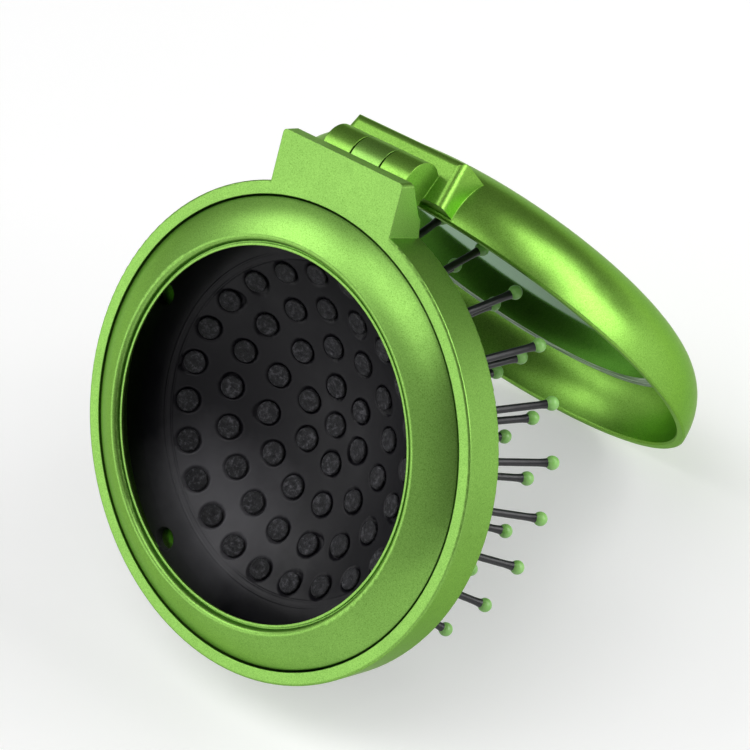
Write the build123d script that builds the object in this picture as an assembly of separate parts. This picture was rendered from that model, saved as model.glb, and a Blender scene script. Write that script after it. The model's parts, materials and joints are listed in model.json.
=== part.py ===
from build123d import *
from math import asin, atan2, cos, degrees, hypot, pi, radians, sin, sqrt
import os

# Folding pocket hairbrush with a mirror in its lid, in millimetres.
#
# Every piece is drawn in the brush's own frame: x runs along the hinge, y from
# the centre of the brush towards the hinge, and z out of the brush's back, with
# z = 0 on the flat back. The lid is drawn shut. Then the lid is opened, and the
# brush is stood up like a tent, on its outermost bristles and the lid's rim.

# Case ring of the brush half
case_radius = 32.5
case_taper = 0.3
case_height = 6.3
case_wall = 1.75
case_edge_round = 0.3
flange_thickness = 1.1
flange_width = 3.8
flange_bore_flare = 0.65

# Raised bezel on the back
seam_gap = 0.3
bezel_edge_rise = 0.1
bezel_edge_drop = 0.25
bezel_crown = 0.25
bezel_rise = 2.9
bezel_bead_radius = 0.65
bezel_cone_width = 4.85
bezel_groove_depth = 0.9
bezel_groove_gap = 0.3
bezel_groove_taper = 0.3
bezel_lip_drop = 0.6
bezel_lip_width = 0.35
bezel_lip_thickness = 0.3
bezel_undercut = 0.75
bezel_thickness = 1.15
bezel_skirt_thickness = 1.1
snap_height = 0.2
snap_length = 0.8

# Rubber pad
pad_edge_gap = 0.55
pad_flange_thickness = 1.2
pad_slope_margin = 0.35
pad_crease_radius = 22.6
pad_slope_drop = 0.4
pad_dome_depth = 8.15
pad_thickness = 1.5
pad_hole_count = 5
pad_hole_radius = 1.6
pad_hole_inset = 2.6
pad_hole_phase = 18.0
seat_clearance = 0.2
seat_depth_clearance = 0.1
pin_hole_clearance = 0.1

# Bristles: one ring inside the other round a single centre pin
ring_counts = (1, 6, 12, 18, 24)
ring_radii = (0.0, 5.09, 10.38, 15.53, 20.35)
ring_phases = (0.0, 43.2, 13.0, 2.5, 11.8)
splay_inner = 9.74
splay_outer = 30.25
pin_reach = 17.4
pin_radius = 0.5
pin_neck_radius = 0.6
pin_flare_length = 1.2
head_radius = 1.55
head_half_thickness = 0.3
ball_radius = 0.95

# Hinge
knuckle_radius = 3.4
knuckle_clearance = 0.35
barrel_length = 14.4
middle_knuckle_length = 4.8
knuckle_gap = 0.25
hinge_below_rim = 1.0
pin_bore_clearance = 0.05
hinge_pin_radius = 0.9
blind_end_thickness = 0.8
hinge_pin_end_gap = 0.2

# Lug of the case, which reaches over the hinge barrel
lug_width = 20.6
case_lug_overhang = 2.0
case_lug_tip_thickness = 2.1
case_lug_corner_round = 0.6
case_lug_root_rise = 0.4
case_ridge_angle = 141.0
web_reach = 0.9

# Lid
lid_gap = 0.3
lid_depth = 10.9
lid_outer_power = 6.3
lid_inner_power = 9.0
lid_rim_width = 1.3
lid_floor_thickness = 1.15
lid_edge_round = 0.25
lid_lug_setback = 1.8
lid_lug_below_rim = 0.5
lid_lug_height = 6.75
lid_lug_draft = 0.9
lid_lug_corner_round = 1.1
lid_open_angle = 55.7

# Mirror and the foam disc that holds it
mirror_depth = 6.3
mirror_margin = 4.1
mirror_thickness = 1.6
mirror_bevel_width = 0.3
mirror_bevel_drop = 0.15
foam_margin = 3.1
foam_thickness = 0.9
plateau_margin = 0.5

# Radii, heights and places that follow from the sizes above
case_bore_radius = case_radius - case_wall
flange_bore_radius = case_bore_radius - flange_width
bezel_edge_radius = case_bore_radius - seam_gap
bezel_crest_radius = bezel_edge_radius - bezel_cone_width
bezel_lip_radius = bezel_crest_radius - bezel_bead_radius - bezel_groove_gap
bezel_opening_radius = bezel_lip_radius - bezel_lip_width
pad_radius = case_bore_radius - pad_edge_gap
pad_slope_radius = flange_bore_radius - pad_slope_margin
pad_hole_circle_radius = pad_radius - pad_hole_inset
mirror_radius = case_radius - lid_rim_width - mirror_margin
foam_radius = mirror_radius - foam_margin
flange_top = -case_height + flange_thickness
pad_top = flange_top + pad_flange_thickness
rim_z = -case_height - lid_gap
hinge_y = case_radius + knuckle_radius
hinge_z = rim_z - hinge_below_rim
swing_radius = knuckle_radius + knuckle_clearance
dome_top = pad_top - pad_slope_drop - pad_dome_depth
dome_radius = (pad_crease_radius**2 + pad_dome_depth**2) / (2 * pad_dome_depth)
dome_centre_z = dome_top + dome_radius


def turned(*edges):
    """Solid of revolution about z from edges drawn in (radius, height)."""
    return revolve(Plane.XZ * make_face(edges), Axis.Z)


def lathe(*points):
    """Solid of revolution about z with straight sides."""
    return revolve(Plane.XZ * make_face(Polyline(*points, close=True)), Axis.Z)


def slab(edges, low_x, high_x):
    """Solid with the outline that edges draw in (y, z), from low_x to high_x."""
    return Pos(low_x, 0, 0) * extrude(Plane.YZ * make_face(edges), high_x - low_x)


def rod(radius, low_x, high_x):
    """Cylinder about the hinge line."""
    middle = (low_x + high_x) / 2
    return Pos(middle, hinge_y, hinge_z) * Rot(0, 90, 0) * Cylinder(radius, high_x - low_x)


def from_hinge(distance, angle):
    """The (y, z) of a point by its distance and angle from the hinge line."""
    return (
        hinge_y + distance * cos(radians(angle)),
        hinge_z + distance * sin(radians(angle)),
    )


def dome_z(radius):
    """Height of the pad's hollow back surface at a radius."""
    return dome_centre_z - sqrt(dome_radius**2 - radius**2)


def splay(radius):
    """Lean of a pin that stands at a radius, in degrees."""
    share = radius / ring_radii[-1]
    return splay_inner + (splay_outer - splay_inner) * share if radius else 0.0


def around(ring, piece):
    """A copy of piece at every place of a ring of pins, leaning as the pins do."""
    radius = ring_radii[ring]
    leaning = Pos(radius, 0, dome_z(radius)) * Rot(0, -splay(radius), 0) * piece
    step = 360 / ring_counts[ring]
    return [Rot(0, 0, ring_phases[ring] + step * k) * leaning for k in range(ring_counts[ring])]


# ---- Case ring --------------------------------------------------------------


def case_lug():
    """Lug that reaches over the barrel, with an underside that the lid's knuckles clear."""
    inner_y = case_bore_radius - case_edge_round
    tip_y = hinge_y + case_lug_overhang
    tip_z = -case_lug_tip_thickness
    tip_distance = hypot(tip_y - hinge_y, tip_z - hinge_z)
    tip_angle = degrees(atan2(tip_z - hinge_z, tip_y - hinge_y))
    touch_angle = tip_angle + 90 - degrees(asin(swing_radius / tip_distance))
    touch = from_hinge(swing_radius, touch_angle)
    ridge = from_hinge(swing_radius, case_ridge_angle)
    middle = from_hinge(swing_radius, (touch_angle + case_ridge_angle) / 2)
    root_z = -case_height + case_lug_root_rise
    outline = [
        *Polyline((inner_y, root_z), (inner_y, 0), (tip_y, 0), (tip_y, tip_z), touch).edges(),
        ThreePointArc(touch, middle, ridge),
        Line(ridge, (inner_y, root_z)),
    ]
    lug = slab(outline, -lug_width / 2, lug_width / 2)
    corners = lug.edges().filter_by(Axis.Z).group_by(Axis.Y)[-1]
    return fillet(corners, case_lug_corner_round)


def middle_knuckle():
    """Knuckle between the lid's two, hung under the lug by a web."""
    half = middle_knuckle_length / 2
    back_y = hinge_y - knuckle_radius
    front_y = hinge_y + web_reach
    web = Polyline(
        (back_y, hinge_z),
        (back_y, -case_lug_tip_thickness),
        (front_y, -case_lug_tip_thickness),
        (front_y, hinge_z),
        close=True,
    )
    return slab(web.edges(), -half, half) + rod(knuckle_radius, -half, half)


def hinge_bore():
    """Hole for the hinge pin, open at the left end of the barrel only."""
    half = barrel_length / 2
    return rod(hinge_pin_radius + pin_bore_clearance, -barrel_length, half - blind_end_thickness)


def snap_ring(radius, growth):
    """Ring that stands out of a wall by snap_height, in a groove when growth is 0 or more."""
    middle_z = (pad_top - case_edge_round) / 2
    half = snap_length / 2 + growth
    height = snap_height + growth
    root = bezel_skirt_thickness / 2
    return lathe(
        (radius - root, middle_z - half - root),
        (radius, middle_z - half),
        (radius + height, middle_z),
        (radius, middle_z + half),
        (radius - root, middle_z + half + root),
    )


def case_ring():
    """Flat ring with the lug and the middle knuckle; its front flange carries the pad."""
    round_ = case_edge_round
    front_radius = case_radius - case_taper
    corner = round_ * (1 - sqrt(0.5))
    body = turned(
        Line((0, 0), (case_radius - round_, 0)),
        ThreePointArc((case_radius - round_, 0), (case_radius - corner, -corner), (case_radius, -round_)),
        Line((case_radius, -round_), (front_radius, -case_height + round_)),
        ThreePointArc(
            (front_radius, -case_height + round_),
            (front_radius - corner, -case_height + corner),
            (front_radius - round_, -case_height),
        ),
        Line((front_radius - round_, -case_height), (0, -case_height)),
        Line((0, -case_height), (0, 0)),
    )
    above = case_height
    bore = lathe(
        (0, flange_top), (case_bore_radius, flange_top), (case_bore_radius, above), (0, above)
    )
    mouth_radius = flange_bore_radius + flange_bore_flare
    mouth = lathe(
        (0, -case_height), (mouth_radius, -case_height), (flange_bore_radius, flange_top), (0, flange_top)
    )
    groove = snap_ring(case_bore_radius, seam_gap / 2)
    return body + case_lug() + middle_knuckle() - bore - mouth - groove - hinge_bore()


# ---- Bezel ------------------------------------------------------------------


def back_bezel():
    """Cone that rises to a rounded lip round the opening, with a skirt that holds the pad down."""
    bead_z = bezel_rise - bezel_bead_radius
    foot = (bezel_edge_radius - bezel_edge_drop, bezel_edge_rise)
    run = foot[0] - bezel_crest_radius
    climb = bead_z - foot[1]
    slope = atan2(climb, run) + asin(bezel_bead_radius / hypot(run, climb))
    bead_start = (
        bezel_crest_radius + bezel_bead_radius * sin(slope),
        bead_z + bezel_bead_radius * cos(slope),
    )
    crown = (
        (foot[0] + bead_start[0]) / 2 + bezel_crown * sin(slope),
        (foot[1] + bead_start[1]) / 2 + bezel_crown * cos(slope),
    )
    inner_bead = bezel_crest_radius - bezel_bead_radius
    lip_z = bezel_rise - bezel_lip_drop
    groove_z = bezel_rise - bezel_groove_depth
    skirt_inner = bezel_edge_radius - bezel_skirt_thickness
    under_slope = (bead_start[1] - foot[1]) / (foot[0] - bead_start[0])
    lip_under_z = lip_z - bezel_thickness
    under_radius = bezel_opening_radius + bezel_undercut
    shoulder_z = lip_under_z - under_slope * (skirt_inner - under_radius)
    bezel = turned(
        Line((bezel_edge_radius, pad_top), (bezel_edge_radius, bezel_edge_rise - bezel_edge_drop)),
        Line((bezel_edge_radius, bezel_edge_rise - bezel_edge_drop), foot),
        ThreePointArc(foot, crown, bead_start),
        ThreePointArc(bead_start, (bezel_crest_radius, bezel_rise), (inner_bead, bead_z)),
        *Polyline(
            (inner_bead, bead_z),
            (inner_bead - bezel_groove_gap * bezel_groove_taper, groove_z),
            (bezel_lip_radius, groove_z),
            (bezel_lip_radius, lip_z),
            (bezel_opening_radius, lip_z),
            (bezel_opening_radius, lip_z - bezel_lip_thickness),
            (under_radius, lip_under_z),
            (skirt_inner, shoulder_z),
            (skirt_inner, pad_top),
            (bezel_edge_radius, pad_top),
        ).edges(),
    )
    below = pad_top - pad_flange_thickness
    inside = lathe((0, below), (skirt_inner, below), (skirt_inner, shoulder_z), (0, shoulder_z))
    return bezel + (snap_ring(bezel_edge_radius, 0) - inside)


# ---- Rubber pad -------------------------------------------------------------


def rubber_pad():
    """Domed pad on a flat flange, with a seat and a hole for every pin."""
    under_radius = dome_radius + pad_thickness
    crease_z = pad_top - pad_slope_drop
    under_corner = sqrt(under_radius**2 - (dome_centre_z - crease_z + pad_thickness) ** 2)
    pad = turned(
        *Polyline(
            (0, dome_top - pad_thickness),
            (0, dome_top),
        ).edges(),
        ThreePointArc(
            (0, dome_top),
            (pad_crease_radius / 2, dome_z(pad_crease_radius / 2)),
            (pad_crease_radius, crease_z),
        ),
        *Polyline(
            (pad_crease_radius, crease_z),
            (pad_slope_radius, pad_top),
            (pad_radius, pad_top),
            (pad_radius, flange_top),
            (flange_bore_radius, flange_top),
            (under_corner, crease_z - pad_thickness),
        ).edges(),
        ThreePointArc(
            (under_corner, crease_z - pad_thickness),
            (under_corner / 2, dome_centre_z - sqrt(under_radius**2 - under_corner**2 / 4)),
            (0, dome_top - pad_thickness),
        ),
    )
    flange_hole = Pos(pad_hole_circle_radius, 0, pad_top) * Cylinder(
        pad_hole_radius, 4 * pad_flange_thickness
    )
    step = 360 / pad_hole_count
    holes = [Rot(0, 0, pad_hole_phase + step * k) * flange_hole for k in range(pad_hole_count)]
    seat_radius = head_radius + seat_clearance
    seat_floor = -head_half_thickness - seat_depth_clearance
    shank_radius = pin_radius + pin_hole_clearance
    cutter = lathe(
        (0, -3 * pad_thickness),
        (shank_radius, -3 * pad_thickness),
        (shank_radius, seat_floor),
        (seat_radius, seat_floor),
        (seat_radius, pad_thickness),
        (0, pad_thickness),
    )
    for ring in range(len(ring_counts)):
        holes += around(ring, cutter)
    return pad - holes


# ---- Bristles ---------------------------------------------------------------


def neck_drop():
    """How far the flat end of a ball lies from the ball's centre."""
    return sqrt(ball_radius**2 - pin_neck_radius**2)


def pin():
    """One pin, head centre at the origin and the shank down -z, flared where the ball sits."""
    end = -pin_reach + neck_drop()
    return lathe(
        (0, head_half_thickness),
        (head_radius, head_half_thickness),
        (head_radius, -head_half_thickness),
        (pin_radius, -head_half_thickness),
        (pin_radius, end + pin_flare_length),
        (pin_neck_radius, end),
        (0, end),
    )


def ball():
    """The ball on the end of one pin, flat where it meets the pin."""
    flat_z = -pin_reach + neck_drop()
    return turned(
        Line((0, flat_z), (pin_neck_radius, flat_z)),
        ThreePointArc(
            (pin_neck_radius, flat_z),
            (ball_radius, -pin_reach),
            (0, -pin_reach - ball_radius),
        ),
        Line((0, -pin_reach - ball_radius), (0, flat_z)),
    )


# ---- Lid --------------------------------------------------------------------


def bowl(radius, depth, power, edge):
    """Solid bowl under the rim plane: a superellipse turned about z. A positive edge rounds
    its rim, and a negative one flares it."""
    steps = 10
    side = [
        (
            radius * cos(pi / 2 * k / steps) ** (2 / power),
            rim_z - depth * sin(pi / 2 * k / steps),
        )
        for k in range(1, steps)
    ]
    start = (radius, rim_z - abs(edge))
    bottom = (0, rim_z - depth)
    return turned(
        Line((0, rim_z), (radius - edge, rim_z)),
        Line((radius - edge, rim_z), start),
        Spline(start, *side, bottom, tangents=[(0, -1), (-1, 0)]),
        Line(bottom, (0, rim_z)),
    )


def lid_lug():
    """Block on the lid's side that carries the two outer knuckles, narrower away from the rim."""
    top = rim_z - lid_lug_below_rim
    bottom = top - lid_lug_height
    face_y = hinge_y - lid_lug_setback
    wide = lug_width / 2
    narrow = wide - lid_lug_draft
    face = Polyline((-wide, top), (wide, top), (narrow, bottom), (-narrow, bottom), close=True)
    block = Pos(0, face_y, 0) * extrude(Plane.XZ * make_face(face.edges()), face_y - lid_back_y())
    outer = block.edges().group_by(Axis.Y)[-1].sort_by(Axis.Z)
    return fillet(outer[:-1], lid_lug_corner_round)


def lid_back_y():
    """Where the lid's block ends inside the wall of the bowl."""
    inner = case_radius - lid_rim_width
    return sqrt(inner**2 - (lug_width / 2) ** 2) - 2 * lid_rim_width


def outer_knuckles():
    """The two knuckles of the lid, each cut flat in the plane of the lug's outer face."""
    near = middle_knuckle_length / 2 + knuckle_gap
    far = barrel_length / 2
    knuckles = rod(knuckle_radius, near, far) + rod(knuckle_radius, -far, -near)
    keep_depth = 2 * knuckle_radius
    keep = Pos(0, hinge_y - lid_lug_setback + keep_depth / 2, hinge_z) * Box(
        2 * barrel_length, keep_depth, 4 * knuckle_radius
    )
    return knuckles & keep


def lid_shell():
    """Deep dished lid with its hinge block, and a low plateau inside for the mirror."""
    outer = bowl(case_radius, lid_depth, lid_outer_power, lid_edge_round)
    inner_radius = case_radius - lid_rim_width
    inner_depth = lid_depth - lid_floor_thickness
    cavity = bowl(inner_radius, inner_depth, lid_inner_power, -lid_edge_round)
    plateau_z = rim_z - mirror_depth - mirror_thickness - foam_thickness
    plateau_height = inner_depth
    plateau = Pos(0, 0, plateau_z - plateau_height / 2) * Cylinder(
        foam_radius + plateau_margin, plateau_height
    )
    pocket_half = middle_knuckle_length / 2 + knuckle_gap
    pocket = rod(swing_radius, -pocket_half, pocket_half)
    body = outer + lid_lug() - pocket + outer_knuckles()
    return body - (cavity - plateau) - hinge_bore()


def mirror_glass():
    """Round mirror with a narrow ground bevel round its front."""
    front = rim_z - mirror_depth
    return lathe(
        (0, front),
        (mirror_radius - mirror_bevel_width, front),
        (mirror_radius, front - mirror_bevel_drop),
        (mirror_radius, front - mirror_thickness),
        (0, front - mirror_thickness),
    )


def mirror_foam():
    """Adhesive foam disc between the mirror and the lid's plateau."""
    middle = rim_z - mirror_depth - mirror_thickness - foam_thickness / 2
    return Pos(0, 0, middle) * Cylinder(foam_radius, foam_thickness)


def hinge_pin():
    """Plain pin through the three knuckles."""
    low = -barrel_length / 2 + hinge_pin_end_gap
    high = barrel_length / 2 - blind_end_thickness - hinge_pin_end_gap
    return rod(hinge_pin_radius, low, high)


# ---- Rest position ----------------------------------------------------------


def lean():
    """Angle of the brush half from the vertical at which the lowest ball of the outer ring
    and the lid's rim stand on one level."""
    outer = len(ring_counts) - 1
    tilt = radians(splay(ring_radii[outer]))
    reach = ring_radii[outer] + pin_reach * sin(tilt)
    step = 360 / ring_counts[outer]
    turns = [radians(ring_phases[outer] + step * k) for k in range(ring_counts[outer])]
    ball_y = reach * min(sin(turn) for turn in turns)
    ball_z = dome_z(ring_radii[outer]) - pin_reach * cos(tilt)
    rim_y = -(case_radius - lid_edge_round) - hinge_y
    rim_height = rim_z - lid_edge_round - hinge_z
    turn = radians(lid_open_angle)
    tip_y = hinge_y + rim_y * cos(turn) - rim_height * sin(turn)
    tip_z = hinge_z + rim_y * sin(turn) + rim_height * cos(turn)
    across = ball_y - tip_y
    along = ball_z - tip_z
    level = asin((ball_radius - lid_edge_round) / hypot(across, along))
    return degrees(atan2(-across, along) + level)


open_lid = Pos(0, hinge_y, hinge_z) * Rot(lid_open_angle, 0, 0) * Pos(0, -hinge_y, -hinge_z)
stand_up = Rot(90 - lean(), 0, 0)

nodes = {
    "case_ring": case_ring(),
    "back_bezel": back_bezel(),
    "rubber_pad": rubber_pad(),
    "hinge_pin": hinge_pin(),
    "lid_shell": open_lid * lid_shell(),
    "mirror_glass": open_lid * mirror_glass(),
    "mirror_foam": open_lid * mirror_foam(),
}
for ring in range(len(ring_counts)):
    place = f"ring_{ring}" if ring else "centre"
    nodes[f"bristle_pins_{place}"] = Compound(around(ring, pin()))
    nodes[f"ball_tips_{place}"] = Compound(around(ring, ball()))

standing = {name: stand_up * piece for name, piece in nodes.items()}
extent = Compound(list(standing.values())).bounding_box()
to_origin = Pos(0, -(extent.min.Y + extent.max.Y) / 2, -extent.min.Z)

os.makedirs("parts", exist_ok=True)
for name, piece in standing.items():
    export_step(to_origin * piece, f"parts/{name}.step")

hinge = to_origin * stand_up * Pos(0, hinge_y, hinge_z)
print("lean of the brush half", round(lean(), 4))
print("hinge line at", hinge.position)
print("extent", extent.size)
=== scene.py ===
"""Looks of a folding pocket hairbrush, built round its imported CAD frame.

The frame's own units are metres. Most pieces here are shaped in the brush's own
frame, in millimetres: x along the hinge, y from the centre of the brush towards
the hinge, z out of the brush's back, with z = 0 on the flat back.
"""

import json
import random
from math import cos, hypot, pi, radians, sin, sqrt

import bpy
import numpy as np
from mathutils import Matrix, Vector


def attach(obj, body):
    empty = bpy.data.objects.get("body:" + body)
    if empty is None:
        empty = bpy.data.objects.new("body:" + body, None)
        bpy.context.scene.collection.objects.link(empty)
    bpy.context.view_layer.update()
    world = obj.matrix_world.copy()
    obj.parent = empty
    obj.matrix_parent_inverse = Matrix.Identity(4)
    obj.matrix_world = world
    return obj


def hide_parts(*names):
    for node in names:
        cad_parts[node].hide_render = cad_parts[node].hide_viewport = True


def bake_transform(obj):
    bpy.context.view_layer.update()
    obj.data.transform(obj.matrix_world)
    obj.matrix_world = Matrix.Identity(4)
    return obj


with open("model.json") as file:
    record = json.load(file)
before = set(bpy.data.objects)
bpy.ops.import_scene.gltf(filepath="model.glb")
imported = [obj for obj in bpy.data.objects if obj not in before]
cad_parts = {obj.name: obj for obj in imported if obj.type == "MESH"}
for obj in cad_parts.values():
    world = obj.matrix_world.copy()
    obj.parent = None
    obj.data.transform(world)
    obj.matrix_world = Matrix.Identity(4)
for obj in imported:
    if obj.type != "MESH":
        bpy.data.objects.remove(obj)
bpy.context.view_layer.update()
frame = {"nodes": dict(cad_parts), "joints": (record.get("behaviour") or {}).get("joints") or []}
MM = 0.001

# ---- Sizes shared with the CAD model (mm and degrees) ------------------------

CASE_RADIUS = 32.5
HINGE_Y = 35.9
HINGE_Z = -7.6
LID_OPEN = 55.7
RING_COUNTS = (1, 6, 12, 18, 24)
RING_RADII = (0.0, 5.09, 10.38, 15.53, 20.35)
RING_PHASES = (0.0, 43.2, 13.0, 2.5, 11.8)
RING_NAMES = ("centre", "ring_1", "ring_2", "ring_3", "ring_4")
SPLAY_INNER = 9.74
SPLAY_OUTER = 30.25
PIN_REACH = 17.4
PIN_RADIUS = 0.5
PIN_NECK_RADIUS = 0.6
PIN_FLARE_LENGTH = 1.2
HEAD_RADIUS = 1.52
HEAD_HALF = 0.3
BALL_RADIUS = 0.95
PAD_TOP = -4.0
PAD_UNDER = -5.2
PAD_RADIUS = 30.2
PAD_SLOPE_RADIUS = 26.6
PAD_SLOPE_DROP = 0.4
CREASE_RADIUS = 22.6
DOME_DEPTH = 8.15
PAD_THICKNESS = 1.5
HOLE_COUNT = 5
HOLE_RADIUS = 1.5
HOLE_CIRCLE = 27.75
HOLE_PHASE = 18.0
SEAT_RADIUS = 1.68
SEAT_FLOOR = 0.4
LID_RIM = -6.6
LID_DEPTH = 10.9
LID_POWER = 6.3
MIRROR_FRONT = -12.9

DOME_TOP = PAD_TOP - PAD_SLOPE_DROP - DOME_DEPTH
DOME_RADIUS = (CREASE_RADIUS**2 + DOME_DEPTH**2) / (2 * DOME_DEPTH)
DOME_CENTRE = DOME_TOP + DOME_RADIUS


def dome_z(radius):
    """Height of the pad's hollow back surface."""
    return DOME_CENTRE - np.sqrt(DOME_RADIUS**2 - np.asarray(radius) ** 2)


def splay(radius):
    """Lean of a pin that stands at a radius, in degrees."""
    share = radius / RING_RADII[-1]
    return SPLAY_INNER + (SPLAY_OUTER - SPLAY_INNER) * share if radius else 0.0


# ---- From the brush's own frame to the row frame ----------------------------

hinge_joint = next(j for j in frame["joints"] if j["name"] == "lid_hinge")
slide_joint = next(j for j in frame["joints"] if j["name"] == "push_ring_4")
BACK = Vector(slide_joint["axis"]).normalized()
ACROSS = Vector((1, 0, 0))
TO_HINGE = BACK.cross(ACROSS)
BRUSH = Matrix((ACROSS, TO_HINGE, BACK)).transposed().to_4x4()
BRUSH.translation = (
    Vector(hinge_joint["pos_m"]) - (HINGE_Y * TO_HINGE + HINGE_Z * BACK) * MM
)
TO_ROW = BRUSH @ Matrix.Scale(MM, 4)

# The lid's sizes are those of the shut brush, and LID swings them open.
LID = Matrix.Translation((0, HINGE_Y, HINGE_Z)) @ Matrix.Rotation(radians(LID_OPEN), 4, "X")
LID = LID @ Matrix.Translation((0, -HINGE_Y, -HINGE_Z))
MIRROR_CENTRE = TO_ROW @ LID @ Vector((0, 0, MIRROR_FRONT))


def seat_matrices(ring):
    """Where the pins of a ring stand, in the brush's frame, head centre first."""
    radius = RING_RADII[ring]
    lean = Matrix.Rotation(radians(-splay(radius)), 4, "Y")
    place = Matrix.Translation((radius, 0, float(dome_z(radius))))
    step = 360 / RING_COUNTS[ring]
    return [
        Matrix.Rotation(radians(RING_PHASES[ring] + step * k), 4, "Z") @ place @ lean
        for k in range(RING_COUNTS[ring])
    ]


# ---- Mesh helpers -----------------------------------------------------------


def smooth(value):
    """Smooth step from 0 to 1."""
    value = np.clip(value, 0, 1)
    return value * value * (3 - 2 * value)


def new_object(name, vertices, faces, material):
    """A smooth mesh object in the row frame, from points in the brush's frame."""
    mesh = bpy.data.meshes.new(name)
    mesh.from_pydata([tuple(v) for v in vertices], [], faces)
    mesh.transform(TO_ROW)
    mesh.update()
    piece = bpy.data.objects.new(name, mesh)
    bpy.context.scene.collection.objects.link(piece)
    mesh.materials.append(material)
    mesh.shade_smooth()
    return piece


def lathe(profile, segments):
    """Vertices and faces of a closed body turned about z; profile runs from axis to axis."""
    vertices = [(0, 0, profile[0][1])]
    inner = profile[1:-1]
    for radius, z in inner:
        for k in range(segments):
            turn = 2 * pi * k / segments
            vertices.append((radius * cos(turn), radius * sin(turn), z))
    vertices.append((0, 0, profile[-1][1]))
    faces = []
    for k in range(segments):
        after = (k + 1) % segments
        faces.append((0, 1 + k, 1 + after))
        for row in range(len(inner) - 1):
            low = 1 + row * segments
            high = low + segments
            faces.append((low + k, high + k, high + after, low + after))
        last = 1 + (len(inner) - 1) * segments
        faces.append((last + k, len(vertices) - 1, last + after))
    return vertices, faces


def scattered(name, shapes, material):
    """One object from several (vertices, faces, matrix) shapes."""
    all_vertices, all_faces = [], []
    for vertices, faces, matrix in shapes:
        offset = len(all_vertices)
        all_vertices += [matrix @ Vector(v) for v in vertices]
        all_faces += [tuple(offset + i for i in face) for face in faces]
    return new_object(name, all_vertices, all_faces, material)


# ---- Materials --------------------------------------------------------------

# Painted sheen on the rubber, a lighter patch low on one side: centre, distance where it is full
# and where it ends (mm), strength
PAINTED_SHEEN_CENTRE = (-13.0, -18.0, -5.5)
PAINTED_SHEEN_FULL = 2.0
PAINTED_SHEEN_END = 20.0
PAINTED_SHEEN_STRENGTH = 0.52
# Mould lines along the pad's crease: radius (mm) and share of the full height
CREASE_LINES = ((21.95, 0.0), (22.15, 1.0), (22.35, 0.0), (22.75, 0.0), (22.95, 0.8), (23.15, 0.0))
# Band where the mirror's ground edge shows (mm), and its streaks to the metre
EDGE_BAND_START = 24.5
EDGE_BAND_FULL = 24.9
STREAKS_ACROSS = 3500
STREAKS_ALONG = 160


def mixed(first, second, share):
    """Colour between two colours."""
    return tuple(a + (b - a) * share for a, b in zip(first, second))


class Nodes:
    """Shorthand for building one material's node tree."""

    def __init__(self, name):
        self.material = bpy.data.materials.new(name)
        self.material.use_nodes = True
        self.tree = self.material.node_tree
        self.shader = self.tree.nodes["Principled BSDF"]

    def add(self, kind, **values):
        """A node with some of its properties and input values set."""
        node = self.tree.nodes.new(kind)
        for key, value in values.items():
            if hasattr(node, key):
                setattr(node, key, value)
            else:
                node.inputs[key.replace("_", " ")].default_value = value
        return node

    def link(self, source, target):
        self.tree.links.new(source, target)

    def set(self, **values):
        """Sets values on the shader's own sockets."""
        for key, value in values.items():
            self.shader.inputs[key.replace("_", " ")].default_value = value

    def position(self):
        return self.add("ShaderNodeTexCoord").outputs["Object"]

    def brush_place(self):
        """The place on the surface in the brush's own frame, in millimetres."""
        turned = self.add("ShaderNodeMapping", vector_type="TEXTURE")
        turned.inputs["Location"].default_value = BRUSH.translation
        turned.inputs["Rotation"].default_value = BRUSH.to_euler()
        turned.inputs["Scale"].default_value = (MM, MM, MM)
        self.link(self.position(), turned.inputs["Vector"])
        return turned.outputs["Vector"]

    def noise(self, scale, detail=3.0, roughness=0.5):
        """Noise of a scale to the metre."""
        node = self.add("ShaderNodeTexNoise", Scale=scale, Detail=detail, Roughness=roughness)
        self.link(self.position(), node.inputs["Vector"])
        return node.outputs["Fac"]

    def ramp(self, source, stops):
        """Colours at places along a value."""
        node = self.add("ShaderNodeValToRGB")
        elements = node.color_ramp.elements
        while len(elements) < len(stops):
            elements.new(0.5)
        for element, (place, colour) in zip(elements, stops):
            element.position = place
            element.color = (*colour, 1)
        self.link(source, node.inputs["Fac"])
        return node.outputs["Color"]

    def tinted(self, colour, source, low, high):
        """Colour made darker or lighter by a noise."""
        node = self.add("ShaderNodeVectorMath", operation="SCALE")
        self.link(colour, node.inputs[0])
        self.link(self.spread(source, low, high), node.inputs["Scale"])
        return node.outputs[0]

    def spread(self, source, low, high, start=0.0, end=1.0, interpolation="LINEAR"):
        """A value from start to end, moved to run from low to high."""
        node = self.add(
            "ShaderNodeMapRange", interpolation_type=interpolation,
            From_Min=start, From_Max=end, To_Min=low, To_Max=high,
        )
        self.link(source, node.inputs["Value"])
        return node.outputs["Result"]

    def joined(self, node, sources):
        """Sets a node's first inputs to sources, which are sockets or plain values."""
        for socket, source in zip(node.inputs, sources):
            if isinstance(source, bpy.types.NodeSocket):
                self.link(source, socket)
            else:
                socket.default_value = source
        return node

    def number(self, operation, *sources):
        """Sum, product or the like of numbers."""
        return self.joined(self.add("ShaderNodeMath", operation=operation), sources).outputs[0]

    def vector(self, operation, *sources):
        """Difference, product or the like of vectors."""
        node = self.add("ShaderNodeVectorMath", operation=operation)
        return self.joined(node, sources).outputs["Vector"]

    def measure(self, operation, *sources):
        """Length, distance or dot product of vectors."""
        node = self.add("ShaderNodeVectorMath", operation=operation)
        return self.joined(node, sources).outputs["Value"]

    def bump(self, heights, edge_mm=0.0):
        """Bumps from (socket, strength, distance in mm) entries, over softened edges."""
        normal = None
        if edge_mm:
            edge = self.add("ShaderNodeBevel", samples=6, Radius=edge_mm * MM)
            normal = edge.outputs["Normal"]
        for socket, strength, distance in heights:
            node = self.add("ShaderNodeBump", Strength=strength, Distance=distance * MM)
            self.link(socket, node.inputs["Height"])
            if normal:
                self.link(normal, node.inputs["Normal"])
            normal = node.outputs["Normal"]
        if normal:
            self.link(normal, self.shader.inputs["Normal"])


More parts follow.
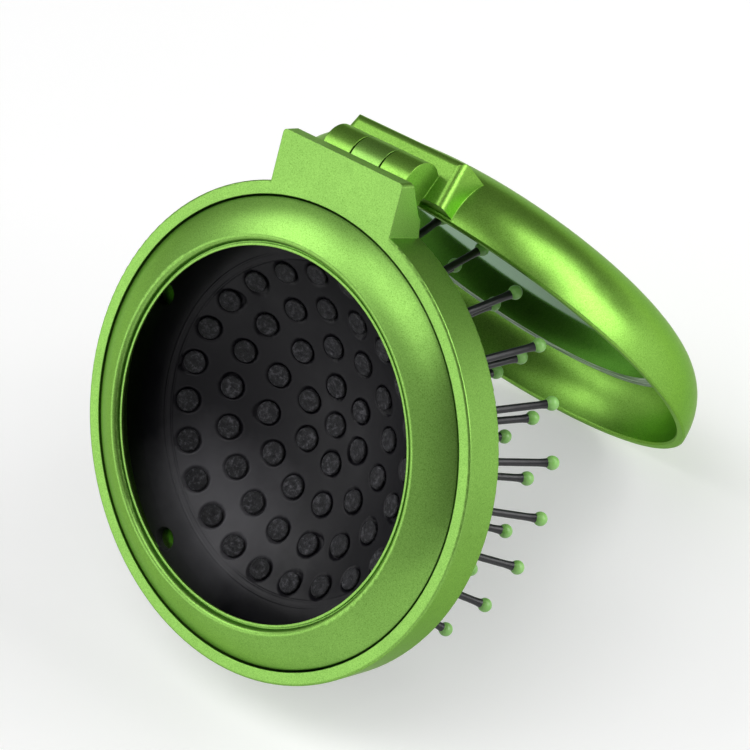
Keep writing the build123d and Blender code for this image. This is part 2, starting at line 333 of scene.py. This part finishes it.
def green_lacquer(name, deep, light, coat):
    """Satin metallic lacquer: fine sparkle in the grain, faint clouds and orange peel."""
    nodes = Nodes(name)
    grain = nodes.noise(6500, 2, 0.6)
    flakes = nodes.ramp(grain, [(0.26, deep), (0.5, mixed(deep, light, 0.6)), (0.74, light)])
    clouded = nodes.tinted(flakes, nodes.noise(130, 3), 0.88, 1.08)
    nodes.link(clouded, nodes.shader.inputs["Base Color"])
    nodes.link(nodes.spread(nodes.noise(700, 3), 0.28, 0.39), nodes.shader.inputs["Roughness"])
    nodes.set(Metallic=0.88, Specular_Tint=(0.4, 0.6, 0.15, 1))
    nodes.set(Coat_Weight=coat, Coat_Roughness=0.3)
    nodes.bump([(grain, 0.2, 0.015), (nodes.noise(900, 2), 0.05, 0.05)], 0.18)
    return nodes.material


def plain_rubber(name):
    """Moulded rubber of the pad's front: even black with a fine grain."""
    nodes = Nodes(name)
    tones = [(0.3, (0.006, 0.006, 0.007)), (0.75, (0.014, 0.014, 0.016))]
    nodes.link(nodes.ramp(nodes.noise(120, 3), tones), nodes.shader.inputs["Base Color"])
    nodes.link(nodes.spread(nodes.noise(500, 3), 0.44, 0.56), nodes.shader.inputs["Roughness"])
    nodes.set(Specular_IOR_Level=0.3)
    nodes.bump([(nodes.noise(2600, 4, 0.6), 0.18, 0.03)])
    return nodes.material


def black_rubber(name):
    """Moulded rubber of the pad's back: black, with a painted sheen low on one side, fine grain,
    small wrinkles, flow marks and the double line that the mould left along the crease."""
    nodes = Nodes(name)
    place = nodes.brush_place()
    # Painted sheen: a lighter tone added near a point low on one side of the pad's back
    far = nodes.measure("DISTANCE", place, PAINTED_SHEEN_CENTRE)
    painted_sheen = nodes.spread(far, 0.0, PAINTED_SHEEN_STRENGTH, PAINTED_SHEEN_END, PAINTED_SHEEN_FULL, "SMOOTHSTEP")
    cloud = nodes.number("ADD", nodes.spread(nodes.noise(85, 4, 0.6), -0.1, 0.34), painted_sheen)
    tones = [
        (0.05, (0.0025, 0.002, 0.004)),
        (0.25, (0.0075, 0.007, 0.0095)),
        (0.68, (0.085, 0.083, 0.092)),
    ]
    nodes.link(nodes.ramp(cloud, tones), nodes.shader.inputs["Base Color"])
    nodes.link(nodes.spread(nodes.noise(260, 4, 0.6), 0.3, 0.62), nodes.shader.inputs["Roughness"])
    nodes.set(Specular_IOR_Level=0.24)
    reach = nodes.measure("LENGTH", nodes.vector("MULTIPLY", place, (1, 1, 0)))
    lines = nodes.add("ShaderNodeFloatCurve")
    for radius, height in CREASE_LINES:
        lines.mapping.curves[0].points.new(radius / PAD_RADIUS, height)
    lines.mapping.update()
    nodes.link(nodes.number("DIVIDE", reach, PAD_RADIUS), lines.inputs["Value"])
    worn = nodes.spread(nodes.noise(75, 2), -0.5, 1.1)
    broken_lines = nodes.number("MULTIPLY", lines.outputs["Value"], worn)
    nodes.bump([
        (nodes.noise(2600, 4, 0.6), 0.2, 0.04),
        (nodes.noise(210, 3, 0.55), 0.16, 0.3),
        (broken_lines, 0.9, 0.2),
    ])
    return nodes.material


def black_nylon(name):
    """Black nylon of the pin heads, with scuffs and torn gate marks."""
    nodes = Nodes(name)
    mark = nodes.noise(1700, 6, 0.8)
    tones = [
        (0.38, (0.003, 0.003, 0.005)),
        (0.51, (0.011, 0.011, 0.014)),
        (0.63, (0.09, 0.088, 0.1)),
    ]
    patchy = nodes.tinted(nodes.ramp(mark, tones), nodes.noise(170, 3), 0.3, 1.7)
    nodes.link(patchy, nodes.shader.inputs["Base Color"])
    nodes.link(nodes.spread(mark, 0.25, 0.6), nodes.shader.inputs["Roughness"])
    nodes.set(Specular_IOR_Level=0.45)
    nodes.bump([(mark, 1.0, 0.3), (nodes.noise(5000, 2), 0.15, 0.02)])
    return nodes.material


def drawn_nylon(name):
    """Black nylon of the shanks, drawn smooth."""
    nodes = Nodes(name)
    tones = [(0.3, (0.007, 0.007, 0.009)), (0.75, (0.016, 0.016, 0.019))]
    nodes.link(nodes.ramp(nodes.noise(900, 3), tones), nodes.shader.inputs["Base Color"])
    nodes.link(nodes.spread(nodes.noise(700, 2), 0.3, 0.42), nodes.shader.inputs["Roughness"])
    nodes.set(Specular_IOR_Level=0.5)
    nodes.bump([(nodes.noise(4000, 2), 0.12, 0.02)])
    return nodes.material


def ball_coating(name):
    """Dipped light green coating."""
    nodes = Nodes(name)
    tones = [(0.3, (0.24, 0.55, 0.12)), (0.8, (0.34, 0.66, 0.2))]
    nodes.link(nodes.ramp(nodes.noise(700, 2), tones), nodes.shader.inputs["Base Color"])
    nodes.link(nodes.spread(nodes.noise(2500, 2), 0.25, 0.4), nodes.shader.inputs["Roughness"])
    nodes.bump([(nodes.noise(2200, 2), 0.1, 0.03)])
    return nodes.material


def silvered_glass(name):
    """Greenish mirror. Through its front the ground edge shows as a pale streaked band."""
    nodes = Nodes(name)
    offset = nodes.vector("SUBTRACT", nodes.position(), MIRROR_CENTRE)
    reach = nodes.measure("LENGTH", offset)
    along = nodes.measure("DOT_PRODUCT", offset, (1, 0, 0))
    stretched = nodes.joined(nodes.add("ShaderNodeCombineXYZ"), (
        nodes.number("MULTIPLY", reach, STREAKS_ACROSS),
        nodes.number("MULTIPLY", along, STREAKS_ALONG),
    ))
    streak = nodes.add("ShaderNodeTexNoise", Scale=1.0, Detail=3.0, Roughness=0.6)
    nodes.link(stretched.outputs[0], streak.inputs["Vector"])
    band = nodes.spread(reach, 0.0, 1.0, EDGE_BAND_START * MM, EDGE_BAND_FULL * MM)
    silver = nodes.ramp(
        nodes.noise(45, 2), [(0.3, (0.27, 0.37, 0.29)), (0.7, (0.30, 0.40, 0.32))]
    )
    edge = nodes.ramp(streak.outputs["Fac"], [
        (0.36, (0.10, 0.14, 0.12)),
        (0.5, (0.42, 0.47, 0.46)),
        (0.62, (0.85, 0.9, 0.9)),
    ])
    mix = nodes.add("ShaderNodeMix", data_type="RGBA")
    nodes.link(band, mix.inputs["Factor"])
    nodes.link(silver, mix.inputs[6])
    nodes.link(edge, mix.inputs[7])
    nodes.link(mix.outputs[2], nodes.shader.inputs["Base Color"])
    nodes.link(nodes.spread(band, 1.0, 0.15), nodes.shader.inputs["Metallic"])
    nodes.link(nodes.spread(band, 0.04, 0.4), nodes.shader.inputs["Roughness"])
    nodes.set(Specular_Tint=(0.55, 0.66, 0.56, 1))
    return nodes.material


def ground_steel(name):
    """Drawn steel of the hinge pin, with fine rings from grinding."""
    nodes = Nodes(name)
    wave = nodes.add("ShaderNodeTexWave", Scale=3000.0, Distortion=1.5)
    nodes.link(nodes.position(), wave.inputs["Vector"])
    nodes.link(nodes.spread(wave.outputs["Fac"], 0.25, 0.4), nodes.shader.inputs["Roughness"])
    nodes.link(
        nodes.ramp(nodes.noise(500), [(0.3, (0.5, 0.5, 0.51)), (0.8, (0.62, 0.62, 0.63))]),
        nodes.shader.inputs["Base Color"],
    )
    nodes.set(Metallic=1.0)
    return nodes.material


def adhesive_foam(name):
    """Black open foam."""
    nodes = Nodes(name)
    cells = nodes.noise(2200, 4, 0.7)
    tones = [(0.3, (0.01, 0.01, 0.01)), (0.8, (0.05, 0.05, 0.05))]
    nodes.link(nodes.ramp(cells, tones), nodes.shader.inputs["Base Color"])
    nodes.set(Roughness=0.95)
    nodes.bump([(cells, 0.6, 0.2)])
    return nodes.material


case_green = green_lacquer("case_green", (0.125, 0.29, 0.038), (0.27, 0.53, 0.105), 0.22)
lid_green = green_lacquer("lid_green", (0.12, 0.295, 0.026), (0.275, 0.545, 0.088), 0.18)
pad_rubber = black_rubber("pad_rubber")
pad_rubber_front = plain_rubber("pad_rubber_front")
bristle_black = black_nylon("bristle_black")
shank_black = drawn_nylon("shank_black")
ball_green = ball_coating("ball_green")
mirror_silver = silvered_glass("mirror_silver")
pin_steel = ground_steel("pin_steel")
foam_black = adhesive_foam("foam_black")


# ---- CAD nodes that stay ----------------------------------------------------


def dress(node, material, smooth_angle=35):
    """Gives a CAD node its material, smooth where its faces meet under smooth_angle."""
    piece = frame["nodes"][node]
    piece.data.materials.clear()
    piece.data.materials.append(material)
    piece.data.shade_smooth()
    piece.data.set_sharp_from_angle(angle=radians(smooth_angle))


for node in ("case_ring", "back_bezel"):
    dress(node, case_green)
dress("mirror_glass", mirror_silver, 20)
dress("mirror_foam", foam_black)
dress("hinge_pin", pin_steel)
for ring_name in RING_NAMES:
    dress(f"ball_tips_{ring_name}", ball_green)


# ---- Lid --------------------------------------------------------------------

LID_END_HEIGHT = -16.6
FAIR_RADIUS = 24.0
FAIR_WIDTH = 2.5


def faired_lid():
    """A copy of the lid whose flat end follows its true curve, without the faint ridge that
    the spline of the CAD model leaves there."""
    mesh = frame["nodes"]["lid_shell"].data.copy()
    normals = [corner.vector.copy() for corner in mesh.corner_normals]
    place = TO_ROW @ LID
    back = place.inverted()
    turn = (BRUSH @ LID).to_3x3()
    new_normals = {}
    for vertex in mesh.vertices:
        point = back @ vertex.co
        radius = hypot(point.x, point.y)
        if point.z > LID_END_HEIGHT or radius > FAIR_RADIUS:
            continue
        share = float(smooth((FAIR_RADIUS - radius) / FAIR_WIDTH))
        ratio = radius / CASE_RADIUS
        root = sqrt(1 - ratio**LID_POWER)
        slope = LID_DEPTH * LID_POWER / 2 * ratio ** (LID_POWER - 1) / CASE_RADIUS / root
        height = LID_RIM - LID_DEPTH * root
        vertex.co = place @ Vector((point.x, point.y, point.z + (height - point.z) * share))
        outward = Vector((point.x, point.y, 0)).normalized() * slope - Vector((0, 0, 1))
        new_normals[vertex.index] = ((turn @ outward).normalized(), share)
    for loop in mesh.loops:
        if loop.vertex_index in new_normals:
            normal, share = new_normals[loop.vertex_index]
            normals[loop.index] = normals[loop.index].lerp(normal, share).normalized()
    mesh.materials.clear()
    mesh.materials.append(lid_green)
    mesh.shade_smooth()
    mesh.normals_split_custom_set(normals)
    piece = bpy.data.objects.new("lid_body", mesh)
    bpy.context.scene.collection.objects.link(piece)
    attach(piece, "lid")
    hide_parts("lid_shell")


faired_lid()


# ---- Bristle pins -----------------------------------------------------------

PIN_SEGMENTS = 28
HEAD_ROUND = 0.26
HEAD_ROUND_STEPS = 8
HEAD_SHARP_ANGLE = 50
NUB_RADIUS = 0.4
NUB_RISE = 0.1
HEAD_DISH = 0.06
NECK_BLEND = 0.3


def pin_profile():
    """Half outline of a pin: gate nub, dished head with a rounded rim, shank and flare."""
    end = -PIN_REACH + sqrt(BALL_RADIUS**2 - PIN_NECK_RADIUS**2)
    rim = HEAD_RADIUS - HEAD_ROUND
    turns = [pi / 2 - pi * k / HEAD_ROUND_STEPS for k in range(HEAD_ROUND_STEPS + 1)]
    rounded = [
        (rim + HEAD_ROUND * cos(t), HEAD_HALF - HEAD_ROUND if t >= 0 else -HEAD_HALF + HEAD_ROUND)
        for t in turns
    ]
    rounded = [(r, z + HEAD_ROUND * sin(t)) for (r, z), t in zip(rounded, turns)]
    return [
        (0, HEAD_HALF - HEAD_DISH + NUB_RISE),
        (NUB_RADIUS * 0.6, HEAD_HALF - HEAD_DISH + NUB_RISE * 0.9),
        (NUB_RADIUS, HEAD_HALF - HEAD_DISH + NUB_RISE * 0.3),
        (NUB_RADIUS * 1.2, HEAD_HALF - HEAD_DISH),
        (rim * 0.85, HEAD_HALF - HEAD_DISH * 0.6),
        *rounded,
        (PIN_RADIUS * 1.5, -HEAD_HALF),
        (PIN_RADIUS, -HEAD_HALF - NECK_BLEND),
        (PIN_RADIUS, end + PIN_FLARE_LENGTH),
        (PIN_RADIUS * 1.06, end + PIN_FLARE_LENGTH * 0.5),
        (PIN_NECK_RADIUS, end),
        (0, end),
    ]


pin_vertices, pin_faces = lathe(pin_profile(), PIN_SEGMENTS)
on_shank = [min(pin_vertices[v][2] for v in face) < -HEAD_HALF - 0.01 for face in pin_faces]
for ring, ring_name in enumerate(RING_NAMES):
    shapes = [(pin_vertices, pin_faces, m) for m in seat_matrices(ring)]
    pins = scattered(f"pins_{ring_name}", shapes, bristle_black)
    pins.data.set_sharp_from_angle(angle=radians(HEAD_SHARP_ANGLE))
    pins.data.materials.append(shank_black)
    for polygon in pins.data.polygons:
        polygon.material_index = int(on_shank[polygon.index % len(pin_faces)])
    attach(pins, f"bristles_{ring_name}")
    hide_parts(f"bristle_pins_{ring_name}")


# ---- Rubber pad -------------------------------------------------------------

GRID_STEP = 0.22
PAD_SEGMENTS = 720
INNERMOST = 0.02
CREASE_SOFTNESS = 0.45
# How far round a seat the skins change shape, and the soft wall and lip of the seats
SEAT_REACH = 5
SEAT_WALL_START = 0.08
SEAT_WALL_WIDTH = 0.2
LIP_OFFSET = 0.25
LIP_WIDTH = 0.22
LIP_RISE = 0.015
SEAT_SEED = 7
TEAR = 0.75
# Bosses round the pins on the pad's front
BOSS_RADIUS = 1.1
BOSS_RISE = 0.5
BOSS_SLOPE = 0.35
BOSS_END = 0.5
# Holes in the flange: cells left out of the skins, and the rim of the tubes that line them
HOLE_CLEARANCE = 0.14
HOLE_SEGMENTS = 40
# Radius for each skin (1 back, -1 front) where its outermost band would begin to bend; band reads
# it, but no band is bent
BEND_START = {1: 22.6, -1: 23.9}


def back_surface(radius):
    """Height of the pad's back: dome, crease and the nearly flat flange."""
    radius = np.asarray(radius, float)
    share = (radius - CREASE_RADIUS) / (PAD_SLOPE_RADIUS - CREASE_RADIUS)
    slope = PAD_TOP - PAD_SLOPE_DROP + PAD_SLOPE_DROP * share
    slope = np.minimum(slope, PAD_TOP)
    apart = (dome_z(radius) - slope) / CREASE_SOFTNESS
    return slope - CREASE_SOFTNESS * np.logaddexp(0, -apart)


def seat_points():
    """Centres and outward directions of all the seats."""
    return [
        (np.array(matrix.translation), np.array(matrix.to_3x3() @ Vector((0, 0, 1))))
        for ring in range(len(RING_COUNTS))
        for matrix in seat_matrices(ring)
    ]


def hole_centres():
    """Centres of the holes in the flange."""
    turns = [radians(HOLE_PHASE + 360 / HOLE_COUNT * k) for k in range(HOLE_COUNT)]
    return [(HOLE_CIRCLE * cos(turn), HOLE_CIRCLE * sin(turn)) for turn in turns]


def seated(vertices, sign):
    """Presses the seats into a skin (sign 1, back) or raises bosses on it (sign -1, front).
    Each seat is torn a little to one side of its head, as moulded rubber is."""
    moved = vertices.copy()
    draw = random.Random(SEAT_SEED)
    for centre, direction in seat_points():
        turn, pull = draw.uniform(0, 2 * pi), draw.uniform(0.02, 1) ** 3 * TEAR
        near = np.abs(vertices - centre).max(axis=1) < SEAT_REACH
        offset = vertices[near] - centre
        along = offset @ direction
        flat = offset - along[:, None] * direction
        side = np.cross(direction, (cos(turn), sin(turn), 0))
        side /= np.linalg.norm(side)
        away = np.linalg.norm(flat, axis=1)
        if sign > 0:
            towards = np.clip(flat @ side / np.maximum(away, 1e-6), 0, 1)
            away = away - pull * towards**4
            share = 1 - smooth((away - SEAT_RADIUS + SEAT_WALL_START) / SEAT_WALL_WIDTH)
            lip = LIP_RISE * np.exp(-(((away - SEAT_RADIUS - LIP_OFFSET) / LIP_WIDTH) ** 2))
            shift = share * (-SEAT_FLOOR - along) + lip
        else:
            shift = -BOSS_RISE * (1 - smooth((away - BOSS_RADIUS) / BOSS_SLOPE))
            shift = shift * (away < BOSS_RADIUS + BOSS_END)
        moved[near] += shift[:, None] * direction
    return moved


def skin(radii, height, sign):
    """One skin of the pad as a ring of quads between the given radii."""
    turns = np.arange(PAD_SEGMENTS) * 2 * pi / PAD_SEGMENTS
    grid_r, grid_t = np.meshgrid(radii, turns, indexing="ij")
    vertices = np.stack([grid_r * np.cos(grid_t), grid_r * np.sin(grid_t), height(grid_r)], -1)
    shape = vertices.shape[:2]
    vertices = seated(vertices.reshape(-1, 3), sign)
    index = np.arange(shape[0] * shape[1]).reshape(shape)
    quads = np.stack(
        [index[:-1], index[1:], np.roll(index, -1, 1)[1:], np.roll(index, -1, 1)[:-1]], -1
    ).reshape(-1, 4)
    if sign < 0:
        quads = quads[:, ::-1]
    middle = vertices[quads].mean(axis=1)
    keep = np.ones(len(quads), bool)
    for centre in hole_centres():
        away = np.linalg.norm(middle[:, :2] - np.array(centre), axis=1)
        keep &= away > HOLE_RADIUS + HOLE_CLEARANCE
    return vertices, quads[keep]


def front_surface(radius):
    """Height of the pad's front, which follows its back at the pad's thickness."""
    outer = DOME_RADIUS + PAD_THICKNESS
    dome = DOME_CENTRE - np.sqrt(np.maximum(outer**2 - np.asarray(radius) ** 2, 1))
    return np.where(dome < PAD_UNDER, dome, PAD_UNDER)


def hole_walls():
    """Tubes that line the flange's holes, from a rim on the back down to the front."""
    rows = (
        (HOLE_RADIUS + 0.4, PAD_TOP + 0.01),
        (HOLE_RADIUS + 0.12, PAD_TOP + 0.02),
        (HOLE_RADIUS, PAD_TOP - 0.1),
        (HOLE_RADIUS, PAD_UNDER),
    )
    faces = []
    for row in range(len(rows) - 1):
        low, high = row * HOLE_SEGMENTS, (row + 1) * HOLE_SEGMENTS
        for k in range(HOLE_SEGMENTS):
            after = (k + 1) % HOLE_SEGMENTS
            faces.append((low + k, low + after, high + after, high + k))
    shapes = []
    for centre_x, centre_y in hole_centres():
        vertices = []
        for radius, z in rows:
            for k in range(HOLE_SEGMENTS):
                turn = 2 * pi * k / HOLE_SEGMENTS
                x, y = centre_x + radius * cos(turn), centre_y + radius * sin(turn)
                lift = float(back_surface(hypot(x, y))) - PAD_TOP if z > PAD_UNDER else 0.0
                vertices.append((x, y, z + lift))
        shapes.append((vertices, faces, Matrix.Identity(4)))
    return shapes


def band(name, inner, outer, bodies, surface, sign):
    """One skin of a ring of the pad, between its inner and outer radius."""
    count = max(4, int(round((outer - inner) / GRID_STEP)))
    radii = np.linspace(max(inner, INNERMOST), outer, count + 1)
    vertices, quads = skin(radii, surface, sign)
    rubber = pad_rubber if sign > 0 else pad_rubber_front
    piece = new_object(name, vertices, [tuple(quad) for quad in quads], rubber)
    heights = (float(surface(min(outer, BEND_START[sign]))), float(surface(inner)))
    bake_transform(piece)
    return piece


def pad_pieces():
    """The pad's two skins, as one band between each two rings of pins, and its hole walls."""
    radii = [*(float(radius) for radius in RING_RADII), PAD_RADIUS]
    bodies = [*(f"bristles_{name}" for name in RING_NAMES), "case"]
    pieces = []
    for side, surface, sign in (("back", back_surface, 1), ("front", front_surface, -1)):
        for ring in range(len(RING_RADII)):
            name = f"pad_{side}_{ring}"
            pair = (bodies[ring + 1], bodies[ring])
            pieces.append(band(name, radii[ring], radii[ring + 1], pair, surface, sign))
    walls = scattered("pad_hole_walls", hole_walls(), pad_rubber)
    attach(walls, "case")
    return [*pieces, walls]


for piece in pad_pieces():
    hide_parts("rubber_pad")


# ---- Camera -----------------------------------------------------------------

CAMERA_PLACE = Vector((300.3, 164.9, 379.8))
CAMERA_RIGHT = Vector((0.725, 0.243, -0.644))
CAMERA_DOWN = Vector((0.380, -0.922, 0.080))
LENS_MM = 192.0
SENSOR_MM = 36.0


def add_camera():
    """Camera at the angle of the photograph, placed in the brush's own frame."""
    data = bpy.data.cameras.new("camera")
    data.lens = LENS_MM
    data.sensor_width = SENSOR_MM
    data.clip_start = 0.01
    camera = bpy.data.objects.new("camera", data)
    bpy.context.scene.collection.objects.link(camera)
    turn = BRUSH.to_3x3()
    right = (turn @ CAMERA_RIGHT).normalized()
    up = -(turn @ CAMERA_DOWN)
    up = (up - up.dot(right) * right).normalized()
    camera.matrix_world = Matrix((right, up, right.cross(up))).transposed().to_4x4()
    camera.location = TO_ROW @ CAMERA_PLACE
    bpy.context.scene.camera = camera


add_camera()


# ---- Floor, light and world -------------------------------------------------

FLOOR_HALF = 1.5
FLOOR_COLOUR = (0.72, 0.72, 0.72)
FLOOR_LIFT = 0.33
# Where the surround is pale, and how it runs from dim to pale towards there
BRIGHT_SIDE = (-0.72, -1.0, 0.2)
SURROUND = {"From Min": -0.15, "From Max": 0.95, "To Min": 0.12, "To Max": 0.6}
# Name, direction from the brush, size in metres and power in watts of each soft box
TARGET = Vector((0, 0, 0.035))
LIGHT_REACH = 0.9
SOFT_BOXES = (
    ("front", (-0.58, -0.79, 0.17), (0.6, 0.35), 1.0),
    ("above_left", (-0.64, -0.33, 0.69), (0.45, 0.45), 1.8),
    ("above", (0.02, -0.27, 0.95), (0.65, 0.45), 2.1),
    ("behind_right", (0.86, 0.41, 0.29), (0.55, 0.5), 3.5),
    ("behind_above", (0.52, 0.58, 0.63), (0.5, 0.5), 2.7),
)


def add_floor():
    """Plain pale floor that keeps the object's shadow. It looks paler to the camera and in
    reflections than the light it gives back."""
    nodes = Nodes("floor_white")
    nodes.set(Base_Color=(*FLOOR_COLOUR, 1), Roughness=1.0, Specular_IOR_Level=0.0)
    nodes.set(Emission_Color=(1, 1, 1, 1))
    path = nodes.add("ShaderNodeLightPath")
    seen = path.outputs["Is Camera Ray"]
    for kind in ("Is Glossy Ray", "Is Transmission Ray"):
        seen = nodes.number("ADD", seen, path.outputs[kind])
    glow = nodes.number("MULTIPLY", seen, FLOOR_LIFT)
    nodes.link(glow, nodes.shader.inputs["Emission Strength"])
    mesh = bpy.data.meshes.new("floor")
    corners = [(-FLOOR_HALF, -FLOOR_HALF, 0), (FLOOR_HALF, -FLOOR_HALF, 0),
               (FLOOR_HALF, FLOOR_HALF, 0), (-FLOOR_HALF, FLOOR_HALF, 0)]
    mesh.from_pydata(corners, [], [(0, 1, 2, 3)])
    floor = bpy.data.objects.new("floor", mesh)
    bpy.context.scene.collection.objects.link(floor)
    mesh.materials.append(nodes.material)


def add_soft_box(name, direction, size, power):
    """Rectangular soft box that faces the brush."""
    data = bpy.data.lights.new(name, "AREA")
    data.shape = "RECTANGLE"
    data.size, data.size_y = size
    data.energy = power
    light = bpy.data.objects.new(name, data)
    bpy.context.scene.collection.objects.link(light)
    light.location = TARGET + Vector(direction).normalized() * LIGHT_REACH
    light.rotation_euler = (TARGET - light.location).to_track_quat("-Z", "Y").to_euler()


def add_world():
    """Soft surround, pale in front of the brush on the left and dim elsewhere."""
    world = bpy.data.worlds.new("surround")
    bpy.context.scene.world = world
    world.use_nodes = True
    tree = world.node_tree
    place = tree.nodes.new("ShaderNodeTexCoord")
    facing = tree.nodes.new("ShaderNodeVectorMath")
    facing.operation = "DOT_PRODUCT"
    facing.inputs[1].default_value = Vector(BRIGHT_SIDE).normalized()
    tree.links.new(place.outputs["Generated"], facing.inputs[0])
    level = tree.nodes.new("ShaderNodeMapRange")
    level.interpolation_type = "SMOOTHSTEP"
    for socket, value in SURROUND.items():
        level.inputs[socket].default_value = value
    tree.links.new(facing.outputs["Value"], level.inputs["Value"])
    background = tree.nodes["Background"]
    tree.links.new(level.outputs["Result"], background.inputs["Strength"])
    background.inputs["Color"].default_value = (1, 1, 1, 1)


add_floor()
for soft_box in SOFT_BOXES:
    add_soft_box(*soft_box)
add_world()
bpy.context.scene.view_settings.view_transform = "Standard"
